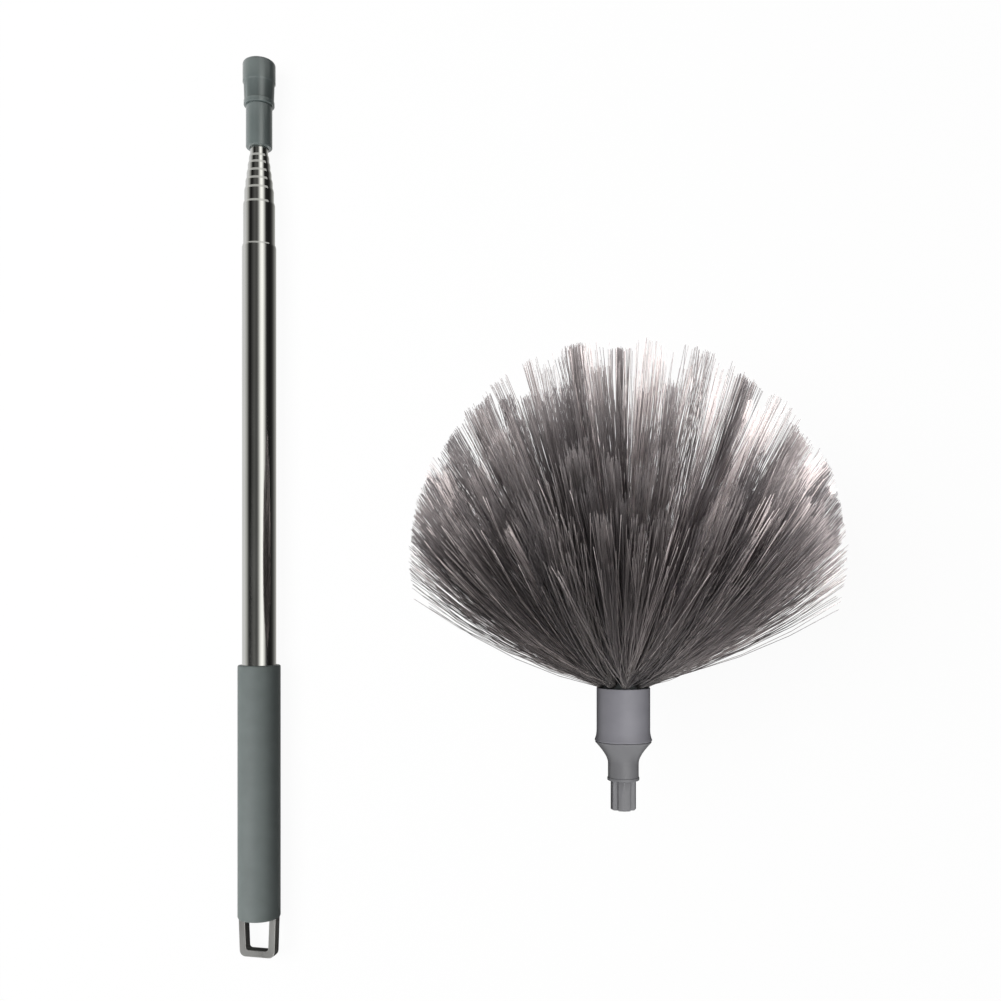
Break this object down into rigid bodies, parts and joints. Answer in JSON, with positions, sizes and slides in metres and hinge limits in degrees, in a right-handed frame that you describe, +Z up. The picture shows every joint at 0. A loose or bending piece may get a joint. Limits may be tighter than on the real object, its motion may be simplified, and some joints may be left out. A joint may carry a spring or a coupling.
{
  "type": "extendable ceiling brush",
  "caption": "Telescopic polished steel pole with a moulded grip, hanging loop and push-in socket, beside its pull-off domed bristle head for dusting ceilings and corners.",
  "frame": {"origin": "on the table, under the middle of the outline of pole and head together", "axes": "+Z up from the table, +Y along the pole from its hanging loop to its socket, +X from the pole to the brush head"},
  "size_m": [0.3936, 0.6414, 0.2611],
  "materials": {
    "polished_steel": "polished stainless steel",
    "loop_metal": "bright plated metal",
    "grip_plastic": "satin grey moulding",
    "socket_plastic": "satin grey moulding",
    "sleeve_plastic": "natural nylon",
    "plug_plastic": "dark moulding",
    "block_plastic": "satin grey moulding",
    "stem_plastic": "satin grey moulding",
    "screw_steel": "plain zinc-plated steel",
    "bristle": "grey-brown synthetic bristle"
  },
  "bodies": {
    "handle": {"outer_tube": "polished_steel", "grip": "grip_plastic", "hanging_loop": "loop_metal", "tube_plug": "plug_plastic"},
    "section_2": {"section_tube_2": "polished_steel", "friction_sleeve_2": "sleeve_plastic"},
    "section_3": {"section_tube_3": "polished_steel", "friction_sleeve_3": "sleeve_plastic"},
    "section_4": {"section_tube_4": "polished_steel", "friction_sleeve_4": "sleeve_plastic"},
    "section_5": {"section_tube_5": "polished_steel", "friction_sleeve_5": "sleeve_plastic"},
    "section_6": {"section_tube_6": "polished_steel", "friction_sleeve_6": "sleeve_plastic"},
    "section_7": {"section_tube_7": "polished_steel", "friction_sleeve_7": "sleeve_plastic"},
    "section_8": {"section_tube_8": "polished_steel", "friction_sleeve_8": "sleeve_plastic", "socket_sleeve": "socket_plastic", "socket_collar": "socket_plastic"},
    "brush_head": {"brush_block": "block_plastic", "head_stem": "stem_plastic", "hub_screw": "screw_steel", "bristles_centre": "bristle", "bristles_inner_row": "bristle", "bristles_outer_row": "bristle"}
  },
  "joints": [
    {"name": "slide_2", "type": "slide", "parent": "handle", "child": "section_2", "axis": [0, 1, 0], "range_m": [0, 0.3889]},
    {"name": "slide_3", "type": "slide", "parent": "section_2", "child": "section_3", "axis": [0, 1, 0], "range_m": [0, 0.4194]},
    {"name": "slide_4", "type": "slide", "parent": "section_3", "child": "section_4", "axis": [0, 1, 0], "range_m": [0, 0.4296]},
    {"name": "slide_5", "type": "slide", "parent": "section_4", "child": "section_5", "axis": [0, 1, 0], "range_m": [0, 0.4362]},
    {"name": "slide_6", "type": "slide", "parent": "section_5", "child": "section_6", "axis": [0, 1, 0], "range_m": [0, 0.4422]},
    {"name": "slide_7", "type": "slide", "parent": "section_6", "child": "section_7", "axis": [0, 1, 0], "range_m": [0, 0.4482]},
    {"name": "slide_8", "type": "slide", "parent": "section_7", "child": "section_8", "axis": [0, 1, 0], "range_m": [0, 0.4534]},
    {"name": "head_lift", "type": "slide", "parent": "handle", "child": "brush_head", "axis": [0, 0, 1], "range_m": [0, 0.3]}
  ]
}
